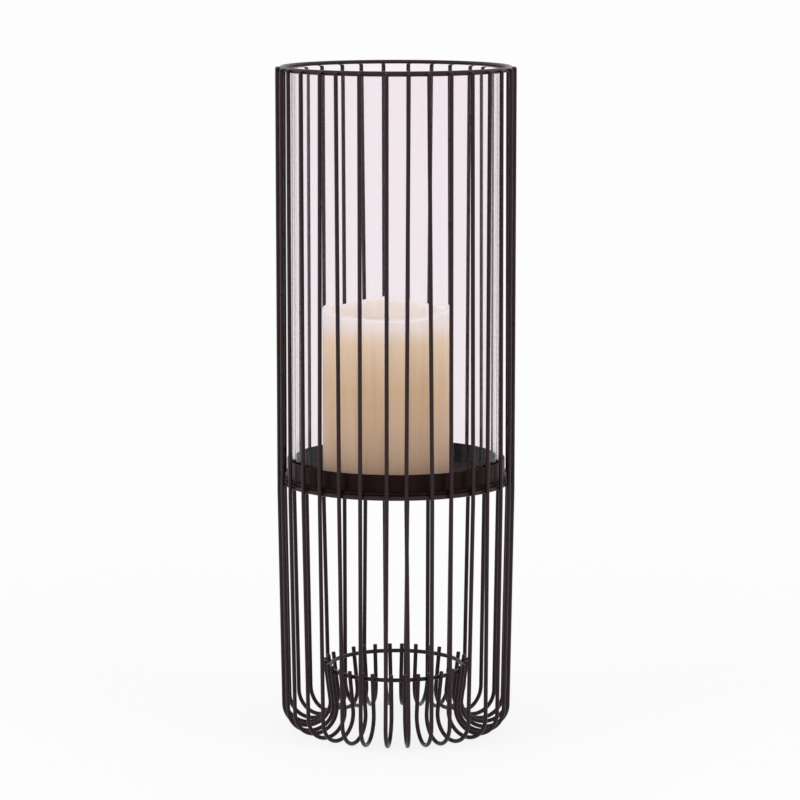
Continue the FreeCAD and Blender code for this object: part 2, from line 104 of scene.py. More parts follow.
class LanternCageSettings(bpy.types.PropertyGroup):
    """Wires and rings of the cage."""
    wire: length("Wire", "Diameter of an upright wire", 2.4)
    end_chamfer: length("End Chamfer", "Deburred edge on the cut ends of a wire", 0.3)
    knee_height: length("Knee Height", "Where the wires start to lean in, above the floor", 145.15)
    knee_radius: length("Knee Radius", "Gentle bend where the lean starts", 200.0)
    foot_lean: angle("Foot Lean", "Inward lean of the wires below the tray", 1.0)
    bend_radius: length("Bend Radius", "Centre line of the bend that a wire stands on", 13.8)
    hook_lean: angle("Hook Lean", "Outward lean of a wire's short inner leg", 7.5)
    hook_height: length("Hook Height", "Cut end of the inner leg above the floor", 40.6)
    weld: length("Weld", "Half the width of a weld bead between a wire and a ring", 0.8)
    slip: length("Slip", "How far aside hand welding leaves a wire", 1.6)
    twist: angle("Twist", "How far hand bending turns a foot out of the wire's radial plane", 1.5)
    wire_sides: count("Wire Sides", "Facets round a wire", 20, 8, 48)
    knee_steps: count("Knee Steps", "Steps round a wire's knee", 2, 1, 24)
    bend_steps: count("Bend Steps", "Steps round a wire's foot", 28, 8, 96)
    ring_steps: count("Ring Steps", "Steps round a ring", 192, 48, 512)
    deep_paint: colour("Deep Paint", "Darker flecks of the wire's paint", 0.013, 0.0052, 0.0068)
    pale_paint: colour("Pale Paint", "Paler flecks of the wire's paint", 0.027, 0.0132, 0.0172)


class LanternTraySettings(bpy.types.PropertyGroup):
    """Pressed dish that carries the glass and the candle."""
    sheet: length("Sheet", "Sheet thickness of the floor and the collar", 0.8)
    flange_reach: length("Flange Reach", "Flange beyond the outside of the collar", 3.4)
    flange: length("Flange", "Thickness of the folded flange", 1.8)
    cove: length("Cove", "Hollow curve from the flange up into the collar", 1.2)
    corner: length("Corner", "Bend between the floor and the collar", 0.8)
    steps: count("Steps", "Steps round the tray", 240, 48, 512)
    deep_paint: colour("Deep Paint", "Darker flecks of the tray's paint", 0.008, 0.0036, 0.0029)
    pale_paint: colour("Pale Paint", "Paler flecks of the tray's paint", 0.015, 0.0072, 0.0058)


class LanternGlassSettings(bpy.types.PropertyGroup):
    """Open glass cylinder."""
    wall: length("Wall", "Thickness of the glass", 2.5)
    ground_edge: length("Ground Edge", "Ground edges at the foot", 0.4)
    steps: count("Steps", "Steps round the glass", 240, 48, 512)
    tint: colour("Tint", "Colour of light that has passed one wall", 0.94, 0.893, 0.92)
    pale_tint: colour("Pale Tint", "Colour where the tint is faintest", 0.958, 0.922, 0.944)


class LanternCandleSettings(bpy.types.PropertyGroup):
    """Pillar candle and wick."""
    rim_front_drop: length("Rim Front Drop", "Front of the rim below its sides", 4.2)
    rim_back_rise: length("Rim Back Rise", "Back of the rim above its sides", 1.5)
    rim_width: length("Rim Width", "Wax left standing round the melted pool", 4.5)
    rim_round: length("Rim Round", "Softened edges of the rim", 2.1)
    pool_depth: length("Pool Depth", "Floor of the pool below the sides of the rim", 13.0)
    pool_corner: length("Pool Corner", "Hollow curve round the pool's floor", 8.0)
    base_chamfer: length("Base Chamfer", "Lower edge of the candle", 1.5)
    steps: count("Steps", "Steps round the candle", 160, 48, 512)
    wick: length("Wick", "Diameter of the wick", 2.4)
    rim_wave: length("Rim Wave", "Dips of the rim each side of its back", 3.2)
    wick_stand: length("Wick Stand", "Straight part of the wick above the pool's floor", 3.0)
    wick_curl_radius: length("Wick Curl Radius", "Curl at the burnt end of the wick", 14.0)
    wick_curl: angle("Wick Curl", "Turn of that curl", 20.0)
    wick_sides: count("Wick Sides", "Facets round the wick", 16, 8, 48)
    wick_steps: count("Wick Steps", "Steps round the wick's curl", 10, 2, 48)
    # From foot to rim these colours are the wax's own tone. Painted shade darkens it towards the foot, and
    # painted light pales it towards the rim.
    foot_wax_and_shade: colour("Foot Wax", "Wax at the foot", 0.56, 0.43, 0.295)
    body_wax: colour("Body Wax", "Wax half way up the body", 0.67, 0.52, 0.325)
    shoulder_wax: colour("Shoulder Wax", "Wax below the pool, where it turns paler", 0.79, 0.69, 0.485)
    rim_wax_and_light: colour("Rim Wax", "Thin, pale wax at the rim", 0.845, 0.82, 0.785)
    cotton: colour("Cotton", "Waxed cotton of the wick", 0.42, 0.34, 0.24)
    burnt_cotton: colour("Burnt Cotton", "Burnt end of the wick", 0.012, 0.010, 0.009)


class LanternStageSettings(bpy.types.PropertyGroup):
    """Floor, lamps and camera."""
    floor_radius: length("Floor Radius", "Reach of the floor", 30000.0)
    floor_steps: count("Floor Steps", "Steps round the floor", 64, 16, 256)
    floor_paper: colour("Floor Paper", "Colour of the floor as light meets it", 0.86, 0.86, 0.86)
    backdrop: colour("Backdrop", "White seen behind the lantern", 0.985, 0.985, 0.985)
    backdrop_share: share("Backdrop Share", "How much of the backdrop's white the floor shows", 0.84)
    shadow_reach: length("Shadow Reach", "Where the floor has become the backdrop's white", 900.0)
    ambient: FloatProperty(name="Ambient", description="Even light from all round", default=0.48, min=0.0)
    camera_distance: length("Camera Distance", "From the camera to the point it looks at", 1994.2)
    camera_aim: length("Camera Aim", "Height of that point", 195.9)
    camera_aside: length("Camera Aside", "Camera to the right of the axis", 2.35)
    camera_pitch: angle("Camera Pitch", "Camera's downward tilt", 8.532)
    camera_lens: FloatProperty(name="Camera Lens", description="Focal length on a 36 mm sensor",
                               default=153.0, min=1.0, subtype="DISTANCE_CAMERA")


def add_node(tree, kind, inputs=None, **settings):
    """Node with its settings and the start values of its inputs."""
    node = tree.nodes.new(kind)
    for name, value in settings.items():
        setattr(node, name, value)
    for name, value in (inputs or {}).items():
        node.inputs[name].default_value = value
    return node


def new_material(name, inputs):
    """Material with one Principled shader. Returns the material, its tree and the shader."""
    material = bpy.data.materials.new(name)
    material.use_nodes = True
    tree = material.node_tree
    shader = tree.nodes["Principled BSDF"]
    for socket, value in inputs.items():
        shader.inputs[socket].default_value = value
    return material, tree, shader


def new_group(name, inputs, outputs):
    """Empty shader group with named sockets. Returns the group and its two ends."""
    group = bpy.data.node_groups.new(name, "ShaderNodeTree")
    for socket, kind in inputs:
        group.interface.new_socket(name=socket, in_out="INPUT", socket_type=kind)
    for socket, kind in outputs:
        group.interface.new_socket(name=socket, in_out="OUTPUT", socket_type=kind)
    return group, group.nodes.new("NodeGroupInput"), group.nodes.new("NodeGroupOutput")


def place_group(tree, group, inputs):
    """Group placed in a material with its own values."""
    node = add_node(tree, "ShaderNodeGroup", node_tree=group)
    for socket, value in inputs.items():
        node.inputs[socket].default_value = value
    return node


def object_place(tree):
    """Socket with the place of a point in the lantern's own frame."""
    return add_node(tree, "ShaderNodeTexCoord").outputs["Object"]


def add_bump(tree, height, shader, strength, distance):
    """Bump from a height into a shader's normal."""
    bump = add_node(tree, "ShaderNodeBump", {"Strength": strength, "Distance": distance})
    tree.links.new(height, bump.inputs["Height"])
    tree.links.new(bump.outputs["Normal"], shader.inputs["Normal"])


def powder_coat_group():
    """Sprayed and baked paint: flecks of colour, patches of gloss and a fine orange peel."""
    existing = bpy.data.node_groups.get("Powder Coat")
    if existing:
        return existing
    group, start, end = new_group(
        "Powder Coat",
        [("Place", "NodeSocketVector"), ("Fleck Scale", "NodeSocketFloat"),
         ("Peel Scale", "NodeSocketFloat"), ("Deep", "NodeSocketColor"), ("Pale", "NodeSocketColor"),
         ("Least Roughness", "NodeSocketFloat"), ("Most Roughness", "NodeSocketFloat")],
        [("Colour", "NodeSocketColor"), ("Roughness", "NodeSocketFloat"), ("Peel", "NodeSocketFloat")])
    links = group.links
    flecks = add_node(group, "ShaderNodeTexNoise", {"Detail": 5.0, "Roughness": 0.65})
    patches = add_node(group, "ShaderNodeTexNoise", {"Scale": 45.0, "Detail": 2.0})
    peel = add_node(group, "ShaderNodeTexNoise", {"Detail": 2.0, "Roughness": 0.4})
    mix = add_node(group, "ShaderNodeMix", data_type="RGBA")
    gloss = add_node(group, "ShaderNodeMapRange", {"From Min": 0.3, "From Max": 0.7})
    for texture in (flecks, patches, peel):
        links.new(start.outputs["Place"], texture.inputs["Vector"])
    links.new(start.outputs["Fleck Scale"], flecks.inputs["Scale"])
    links.new(start.outputs["Peel Scale"], peel.inputs["Scale"])
    links.new(flecks.outputs["Fac"], mix.inputs["Factor"])
    links.new(start.outputs["Deep"], mix.inputs["A"])
    links.new(start.outputs["Pale"], mix.inputs["B"])
    links.new(patches.outputs["Fac"], gloss.inputs["Value"])
    links.new(start.outputs["Least Roughness"], gloss.inputs["To Min"])
    links.new(start.outputs["Most Roughness"], gloss.inputs["To Max"])
    links.new(mix.outputs["Result"], end.inputs["Colour"])
    links.new(gloss.outputs["Result"], end.inputs["Roughness"])
    links.new(peel.outputs["Fac"], end.inputs["Peel"])
    return group


def soft_mottle_group():
    """Slow cloudy change over a surface, drawn out upwards as wax and drawn glass are."""
    existing = bpy.data.node_groups.get("Soft Mottle")
    if existing:
        return existing
    group, start, end = new_group(
        "Soft Mottle",
        [("Place", "NodeSocketVector"), ("Across", "NodeSocketFloat"), ("Along", "NodeSocketFloat")],
        [("Mask", "NodeSocketFloat")])
    links = group.links
    scale = add_node(group, "ShaderNodeCombineXYZ")
    stretch = add_node(group, "ShaderNodeVectorMath", operation="MULTIPLY")
    clouds = add_node(group, "ShaderNodeTexNoise", {"Scale": 1.0, "Detail": 4.0, "Roughness": 0.55})
    contrast = add_node(group, "ShaderNodeMapRange", {"From Min": 0.3, "From Max": 0.7})
    links.new(start.outputs["Across"], scale.inputs["X"])
    links.new(start.outputs["Across"], scale.inputs["Y"])
    links.new(start.outputs["Along"], scale.inputs["Z"])
    links.new(start.outputs["Place"], stretch.inputs[0])
    links.new(scale.outputs["Vector"], stretch.inputs[1])
    links.new(stretch.outputs["Vector"], clouds.inputs["Vector"])
    links.new(clouds.outputs["Fac"], contrast.inputs["Value"])
    links.new(contrast.outputs["Result"], end.inputs["Mask"])
    return group


def painted_metal(name, paint, coat, specular, peel_strength):
    """Black paint on steel, from the shared powder coat."""
    existing = bpy.data.materials.get(name)
    if existing:
        return existing
    material, tree, shader = new_material(name, {"Specular IOR Level": specular, "Metallic": 0.0})
    colours = {"Deep": paint.deep_paint, "Pale": paint.pale_paint}
    coated = place_group(tree, powder_coat_group(), {**colours, **coat})
    tree.links.new(object_place(tree), coated.inputs["Place"])
    tree.links.new(coated.outputs["Colour"], shader.inputs["Base Color"])
    tree.links.new(coated.outputs["Roughness"], shader.inputs["Roughness"])
    add_bump(tree, coated.outputs["Peel"], shader, peel_strength, 0.05 * MM)
    return material


def wire_paint(cage):
    """Satin black paint of the wires, rings and welds."""
    coat = {"Fleck Scale": 900.0, "Peel Scale": 1400.0, "Least Roughness": 0.26, "Most Roughness": 0.36}
    return painted_metal("satin_black_wire", cage, coat, specular=0.2, peel_strength=0.1)


def tray_paint(tray):
    """Glossier black paint of the tray."""
    coat = {"Fleck Scale": 600.0, "Peel Scale": 900.0, "Least Roughness": 0.24, "Most Roughness": 0.34}
    return painted_metal("gloss_black_tray", tray, coat, specular=0.05, peel_strength=0.1)


def tinted_glass(glass):
    """Lightly tinted clear glass. Lamps shine through it."""
    material, tree, shader = new_material("smoked_glass", {
        "Roughness": 0.0, "Metallic": 0.0, "Transmission Weight": 1.0, "IOR": 1.2})
    mottle = place_group(tree, soft_mottle_group(), {"Across": 9.0, "Along": 3.0})
    tint = add_node(tree, "ShaderNodeMix", data_type="RGBA")
    tint.inputs["A"].default_value = glass.tint
    tint.inputs["B"].default_value = glass.pale_tint
    through = add_node(tree, "ShaderNodeBsdfTransparent")
    path = add_node(tree, "ShaderNodeLightPath")
    mix = add_node(tree, "ShaderNodeMixShader")
    tree.links.new(object_place(tree), mottle.inputs["Place"])
    tree.links.new(mottle.outputs["Mask"], tint.inputs["Factor"])
    tree.links.new(tint.outputs["Result"], shader.inputs["Base Color"])
    tree.links.new(tint.outputs["Result"], through.inputs["Color"])
    tree.links.new(path.outputs["Is Shadow Ray"], mix.inputs["Fac"])
    tree.links.new(shader.outputs["BSDF"], mix.inputs[1])
    tree.links.new(through.outputs["BSDF"], mix.inputs[2])
    tree.links.new(mix.outputs["Shader"], tree.nodes["Material Output"].inputs["Surface"])
    return material


def wax(candle, low, high):
    """Translucent wax: its own tone, with painted light making it pale at the thin rim and painted shade
    making it deeper down towards the foot; faintly clouded and pitted.
    """
    material, tree, shader = new_material("candle_wax", {
        "Roughness": 0.45, "Subsurface Weight": 0.9, "Subsurface Radius": (1.0, 0.85, 0.6),
        "Subsurface Scale": 9.0 * MM, "Specular IOR Level": 0.2, "IOR": 1.44})
    place = object_place(tree)
    axes = add_node(tree, "ShaderNodeSeparateXYZ")
    height = add_node(tree, "ShaderNodeMapRange", {"From Min": low, "From Max": high})
    # Colour by height: the wax's own tone, darkened by painted shade towards the foot and paled by painted
    # light towards the rim.
    ramp = add_node(tree, "ShaderNodeValToRGB")
    ramp.color_ramp.elements[0].color = candle.foot_wax_and_shade
    ramp.color_ramp.elements[1].color = candle.rim_wax_and_light
    ramp.color_ramp.elements.new(BODY_WAX_AT).color = candle.body_wax
    ramp.color_ramp.elements.new(SHOULDER_WAX_AT).color = candle.shoulder_wax
    ramp.color_ramp.elements.new(RIM_WAX_AT).color = candle.rim_wax_and_light
    mottle = place_group(tree, soft_mottle_group(), {"Across": 130.0, "Along": 5.0})
    clouded = add_node(tree, "ShaderNodeMix", data_type="RGBA", blend_type="SOFT_LIGHT")
    pits = add_node(tree, "ShaderNodeTexNoise", {"Scale": 380.0, "Detail": 3.0})
    clouded.inputs["Factor"].default_value = 0.32
    tree.links.new(place, axes.inputs["Vector"])
    tree.links.new(axes.outputs["Z"], height.inputs["Value"])
    tree.links.new(height.outputs["Result"], ramp.inputs["Fac"])
    tree.links.new(place, mottle.inputs["Place"])
    tree.links.new(place, pits.inputs["Vector"])
    tree.links.new(ramp.outputs["Color"], clouded.inputs["A"])
    tree.links.new(mottle.outputs["Mask"], clouded.inputs["B"])
    tree.links.new(clouded.outputs["Result"], shader.inputs["Base Color"])
    add_bump(tree, pits.outputs["Fac"], shader, 0.08, 0.1 * MM)
    return material


def wick_cotton(candle, pool_floor, tip):
    """Waxed cotton that turns to char towards its tip."""
    material, tree, shader = new_material("wick_cotton", {"Roughness": 0.85, "Specular IOR Level": 0.2})
    place = object_place(tree)
    axes = add_node(tree, "ShaderNodeSeparateXYZ")
    char = add_node(tree, "ShaderNodeMapRange", {"From Min": pool_floor, "From Max": tip})
    fibres = place_group(tree, soft_mottle_group(), {"Across": 2500.0, "Along": 700.0})
    ragged = add_node(tree, "ShaderNodeMath", {1: 0.35}, operation="MULTIPLY_ADD")
    burnt = add_node(tree, "ShaderNodeMix", data_type="RGBA")
    burnt.inputs["A"].default_value = candle.cotton
    burnt.inputs["B"].default_value = candle.burnt_cotton
    tree.links.new(place, axes.inputs["Vector"])
    tree.links.new(place, fibres.inputs["Place"])
    tree.links.new(axes.outputs["Z"], char.inputs["Value"])
    tree.links.new(fibres.outputs["Mask"], ragged.inputs[0])
    tree.links.new(char.outputs["Result"], ragged.inputs[2])
    tree.links.new(ragged.outputs["Value"], burnt.inputs["Factor"])
    tree.links.new(burnt.outputs["Result"], shader.inputs["Base Color"])
    add_bump(tree, fibres.outputs["Mask"], shader, 0.4, 0.1 * MM)
    return material


def seen_white(tree):
    """Socket that is 1 for rays from the camera, from gloss and through glass."""
    path = add_node(tree, "ShaderNodeLightPath")
    either = add_node(tree, "ShaderNodeMath", operation="MAXIMUM")
    seen = add_node(tree, "ShaderNodeMath", operation="MAXIMUM")
    tree.links.new(path.outputs["Is Camera Ray"], either.inputs[0])
    tree.links.new(path.outputs["Is Glossy Ray"], either.inputs[1])
    tree.links.new(either.outputs["Value"], seen.inputs[0])
    tree.links.new(path.outputs["Is Transmission Ray"], seen.inputs[1])
    return seen.outputs["Value"]


def floor_paper(stage):
    """White paper that keeps the lantern's shadow and runs into the white backdrop."""
    material, tree, shader = new_material("studio_floor", {
        "Base Color": stage.floor_paper, "Roughness": 1.0, "Specular IOR Level": 0.0})
    glow = add_node(tree, "ShaderNodeEmission", {"Color": stage.backdrop})
    reach = add_node(tree, "ShaderNodeVectorMath", operation="LENGTH")
    fade = add_node(tree, "ShaderNodeMapRange", {
        "From Min": stage.shadow_reach * 0.25, "From Max": stage.shadow_reach,
        "To Min": stage.backdrop_share, "To Max": 1.0}, interpolation_type="SMOOTHSTEP")
    amount = add_node(tree, "ShaderNodeMath", operation="MULTIPLY")
    mix = add_node(tree, "ShaderNodeMixShader")
    tree.links.new(object_place(tree), reach.inputs[0])
    tree.links.new(reach.outputs["Value"], fade.inputs["Value"])
    tree.links.new(fade.outputs["Result"], amount.inputs[1])
    tree.links.new(seen_white(tree), amount.inputs[0])
    tree.links.new(amount.outputs["Value"], mix.inputs["Fac"])
    tree.links.new(shader.outputs["BSDF"], mix.inputs[1])
    tree.links.new(glow.outputs["Emission"], mix.inputs[2])
    tree.links.new(mix.outputs["Shader"], tree.nodes["Material Output"].inputs["Surface"])
    return material


def white_world(stage):
    """Even light from all round, seen as the white backdrop."""
    world = bpy.data.worlds.new("studio_world")
    world.use_nodes = True
    tree = world.node_tree
    light = tree.nodes["Background"]
    light.inputs["Color"].default_value = (1.0, 1.0, 1.0, 1.0)
    light.inputs["Strength"].default_value = stage.ambient
    backdrop = add_node(tree, "ShaderNodeBackground", {"Color": stage.backdrop})
    mix = add_node(tree, "ShaderNodeMixShader")
    tree.links.new(seen_white(tree), mix.inputs["Fac"])
    tree.links.new(light.outputs["Background"], mix.inputs[1])
    tree.links.new(backdrop.outputs["Background"], mix.inputs[2])
    tree.links.new(mix.outputs["Shader"], tree.nodes["World Output"].inputs["Surface"])
    return world


def make_piece(name, bm, material, body, nodes=()):
    """Turn a finished bmesh into a piece that rides on a body and stands for CAD nodes."""
    bmesh.ops.recalc_face_normals(bm, faces=bm.faces[:])
    mesh = bpy.data.meshes.new(name)
    bm.to_mesh(mesh)
    bm.free()
    mesh.shade_smooth()
    mesh.set_sharp_from_angle(angle=SHARP_EDGE)
    mesh.materials.append(material)
    piece = bpy.data.objects.new(name, mesh)
    bpy.context.scene.collection.objects.link(piece)
    level_shading = piece.modifiers.new("level_shading", "WEIGHTED_NORMAL")
    level_shading.keep_sharp = True
    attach(piece, body)
    for node in nodes:
        check_seat(mesh, node)
        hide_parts(node)
    return piece


def check_seat(mesh, node):
    """Stop if a piece doesn't fill the box of the CAD node that it stands for."""
    low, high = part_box(node)
    for axis in range(3):
        places = [vertex.co[axis] for vertex in mesh.vertices]
        if abs(min(places) - low[axis]) > SEAT_LIMIT or abs(max(places) - high[axis]) > SEAT_LIMIT:
            raise ValueError(f"{mesh.name} doesn't fit {node}: {min(places)}, {max(places)}, {low}, {high}")


def extrude_run(bm, face, travel):
    """Carry a wire's end face straight on. Returns the new end face."""
    around = [face, *face.edges, *face.verts]
    made = bmesh.ops.extrude_face_region(bm, geom=around)["geom"]
    corners = [item for item in made if isinstance(item, bmesh.types.BMVert)]
    bmesh.ops.translate(bm, verts=corners, vec=travel)
    return next(item for item in made if isinstance(item, bmesh.types.BMFace))


def extrude_bend(bm, face, centre, turn, steps):
    """Carry a wire's end face round a bend in the XZ plane. Returns the new end face."""
    around = [face, *face.edges, *face.verts]
    made = bmesh.ops.spin(bm, geom=around, cent=centre, axis=ACROSS, angle=turn, steps=steps)["geom_last"]
    return next(item for item in made if isinstance(item, bmesh.types.BMFace))


def round_edges(bm, edges, size, segments):
    """Bevel edges to a round or, with one segment, a chamfer."""
    bmesh.ops.bevel(bm, geom=edges, offset=size, offset_type="OFFSET", affect="EDGES", segments=segments,
                    profile=0.5, material=-1)


def turn_outline(bm, outline, steps):
    """Full turn of (radius, height) points about the upright axis. An outline off the axis is closed."""
    points = [bm.verts.new((radius, 0.0, height)) for radius, height in outline]
    edges = [bm.edges.new(pair) for pair in zip(points, points[1:])]
    if outline[0][0] > 0.0:
        edges.append(bm.edges.new((points[-1], points[0])))
    bmesh.ops.spin(bm, geom=points + edges, cent=ORIGIN, axis=UP, angle=math.tau, steps=steps,
                   use_merge=True)
    bmesh.ops.remove_doubles(bm, verts=bm.verts[:], dist=SAME_PLACE)
    bmesh.ops.recalc_face_normals(bm, faces=bm.faces[:])


def circle_edges(bm, radius, height):
    """Edges of a turned piece that lie on one level circle."""
    def on_circle(vertex):
        across = math.hypot(vertex.co.x, vertex.co.y)
        return abs(across - radius) < SAME_PLACE and abs(vertex.co.z - height) < SAME_PLACE
    return [edge for edge in bm.edges if all(on_circle(vertex) for vertex in edge.verts)]


def ring_size(node):
    """Radius of a ring's centre line, radius of its wire, and its height, from its CAD node."""
    low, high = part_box(node)
    wire = (high.z - low.z) / 2
    return high.x - wire, wire, (high.z + low.z) / 2


def rib_axis(cage):
    """Radius of the upright wires' centre lines. The outermost wires stand half a step off the X axis."""
    return (RIB_REACH - cage.wire / 2) / math.cos(RIB_STEP / 2)


def rib_turn(number):
    """Direction of a wire about the lantern's axis, counted from the front."""
    return FRONT + (number + 0.5) * RIB_STEP


def wire_aside(cage, number, places):
    """How far hand bending and welding leave points of a wire aside of their true places."""
    draw = random.Random(SLIP_SEED + number)
    top_slip, tray_slip, foot_slip = (draw.uniform(-cage.slip, cage.slip) for _ in range(3))
    twist = math.tan(draw.uniform(-cage.twist, cage.twist))
    knee, axis = cage.knee_height, rib_axis(cage)
    aside = []
    for place in places:
        if place.z > knee:
            far_slip, run = top_slip, (place.z - knee) / (RIB_TOP - knee)
        else:
            far_slip, run = foot_slip, 1.0 - place.z / knee
        aside.append(tray_slip + (far_slip - tray_slip) * run + (axis - place.x) * twist)
    return aside


def bend_wire(bm, cage, top):
    """One upright wire in the XZ plane: upright, knee, leaning leg, round foot and short inner leg."""
    axis = rib_axis(cage)
    lean, hook = cage.foot_lean, cage.hook_lean
    bend_height = cage.bend_radius + cage.wire / 2
    knee_centre = Vector((axis - cage.knee_radius, 0.0, cage.knee_height))
    knee_end = knee_centre + cage.knee_radius * Vector((math.cos(lean), 0.0, -math.sin(lean)))
    drop = knee_end.z - bend_height + cage.bend_radius * math.sin(lean)
    leg = Vector((-drop * math.tan(lean), 0.0, -drop))
    bend_start = knee_end + leg
    bend_centre = bend_start - cage.bend_radius * Vector((math.cos(lean), 0.0, -math.sin(lean)))
    rise = cage.hook_height - bend_height - cage.bend_radius * math.sin(hook)
    bmesh.ops.create_circle(bm, cap_ends=True, segments=cage.wire_sides, radius=cage.wire / 2,
                            matrix=Matrix.Translation((axis, 0.0, top)))
    bm.faces.ensure_lookup_table()
    end = extrude_run(bm, bm.faces[0], Vector((0.0, 0.0, cage.knee_height - top)))
    end = extrude_bend(bm, end, knee_centre, lean, cage.knee_steps)
    end = extrude_run(bm, end, leg)
    end = extrude_bend(bm, end, bend_centre, math.pi + hook - lean, cage.bend_steps)
    extrude_run(bm, end, Vector((rise * math.tan(hook), 0.0, rise)))
    cut_ends = [edge for face in bm.faces if len(face.verts) > 4 for edge in face.edges]
    round_edges(bm, cut_ends, cage.end_chamfer, 2)


class LANTERN_OT_upright_wires(bpy.types.Operator):
    """Make the bent upright wires of the cage"""
    bl_idname = "lantern.upright_wires"
    bl_label = "Upright Wires"

    def execute(self, context):
        cage = context.scene.lantern_cage
        paint = wire_paint(cage)
        for number, node in enumerate(RIB_NODES):
            bm = bmesh.new()
            bend_wire(bm, cage, RIB_TOP)
            slips = wire_aside(cage, number, [vertex.co for vertex in bm.verts])
            for vertex, slip in zip(bm.verts, slips):
                vertex.co.y += slip
            turn = Matrix.Rotation(rib_turn(number), 3, "Z")
            bmesh.ops.rotate(bm, verts=bm.verts[:], cent=ORIGIN, matrix=turn)
            make_piece(f"wire_{number + 1:02d}", bm, paint, "cage", [node])
        return {"FINISHED"}


class LANTERN_OT_wire_rings(bpy.types.Operator):
    """Make the top ring, the ring under the tray and the foot ring"""
    bl_idname = "lantern.wire_rings"
    bl_label = "Wire Rings"

    def execute(self, context):
        cage = context.scene.lantern_cage
        paint = wire_paint(cage)
        for place in ("top", "tray", "foot"):
            radius, wire, height = ring_size(f"{place}_ring")
            bm = bmesh.new()
            upright = Matrix.Translation((radius, 0.0, height)) @ Matrix.Rotation(math.pi / 2, 4, "X")
            section = bmesh.ops.create_circle(bm, segments=cage.wire_sides, radius=wire,
                                              matrix=upright)["verts"]
            bmesh.ops.spin(bm, geom=section + bm.edges[:], cent=ORIGIN, axis=UP, angle=math.tau,
                           steps=cage.ring_steps, use_merge=True)
            make_piece(f"ring_{place}", bm, paint, "cage", [f"{place}_ring"])
        return {"FINISHED"}


class LANTERN_OT_weld_beads(bpy.types.Operator):
    """Make the small weld beads where each wire meets the three rings"""
    bl_idname = "lantern.weld_beads"
    bl_label = "Weld Beads"

    def execute(self, context):
        cage = context.scene.lantern_cage
        bm = bmesh.new()
        for place in ("top", "tray", "foot"):
            radius, wire, height = ring_size(f"{place}_ring")
            for number in range(len(RIB_NODES)):
                seam = Vector((radius + wire, 0.0, height))
                seam.y = wire_aside(cage, number, [seam])[0]
                out = Matrix.Translation(seam)
                flat = Matrix.Diagonal((cage.weld * WELD_FLATNESS, cage.weld, cage.weld, 1.0))
                turn = Matrix.Rotation(rib_turn(number), 4, "Z")
                bmesh.ops.create_icosphere(bm, subdivisions=2, radius=1.0, matrix=turn @ out @ flat)
        make_piece("weld_beads", bm, wire_paint(cage), "cage")
        return {"FINISHED"}


class LANTERN_OT_tray(bpy.types.Operator):
    """Make the pressed tray: flat floor, upright collar, folded flange"""
    bl_idname = "lantern.tray"
    bl_label = "Tray"

    def execute(self, context):
        tray = context.scene.lantern_tray
        low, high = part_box("tray")
        outside = high.x - tray.flange_reach
        inside = outside - tray.sheet
        floor, ledge = low.z + tray.sheet, low.z + tray.flange
        bm = bmesh.new()
        turn_outline(bm, [
            (0.0, low.z), (high.x, low.z), (high.x, ledge), (outside, ledge),
            (outside, high.z), (inside, high.z), (inside, floor), (0.0, floor),
        ], tray.steps)
        nose = circle_edges(bm, high.x, low.z) + circle_edges(bm, high.x, ledge)
        lip = circle_edges(bm, outside, high.z) + circle_edges(bm, inside, high.z)
        cove = circle_edges(bm, outside, ledge)
        corner = circle_edges(bm, inside, floor)
        round_edges(bm, nose, tray.flange * FULL_ROUND, 4)
        round_edges(bm, lip, tray.sheet * FULL_ROUND, 4)
        round_edges(bm, cove, tray.cove, 5)
        round_edges(bm, corner, tray.corner, 4)
        make_piece("tray_dish", bm, tray_paint(tray), "cage", ["tray"])
        return {"FINISHED"}


class LANTERN_OT_glass(bpy.types.Operator):
    """Make the open glass cylinder with its fire-polished rim"""
    bl_idname = "lantern.glass"
    bl_label = "Glass Cylinder"

    def execute(self, context):
        glass = context.scene.lantern_glass
        low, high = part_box("glass_cylinder")
        outside, inside = high.x, high.x - glass.wall
        bm = bmesh.new()
        turn_outline(bm, [
            (inside, low.z), (outside, low.z), (outside, high.z), (inside, high.z),
        ], glass.steps)
        rim = circle_edges(bm, outside, high.z) + circle_edges(bm, inside, high.z)
        foot = circle_edges(bm, outside, low.z) + circle_edges(bm, inside, low.z)
        round_edges(bm, rim, glass.wall * FULL_ROUND, 6)
        round_edges(bm, foot, glass.ground_edge, 2)
        make_piece("glass_tube", bm, tinted_glass(glass), "glass", ["glass_cylinder"])
        return {"FINISHED"}


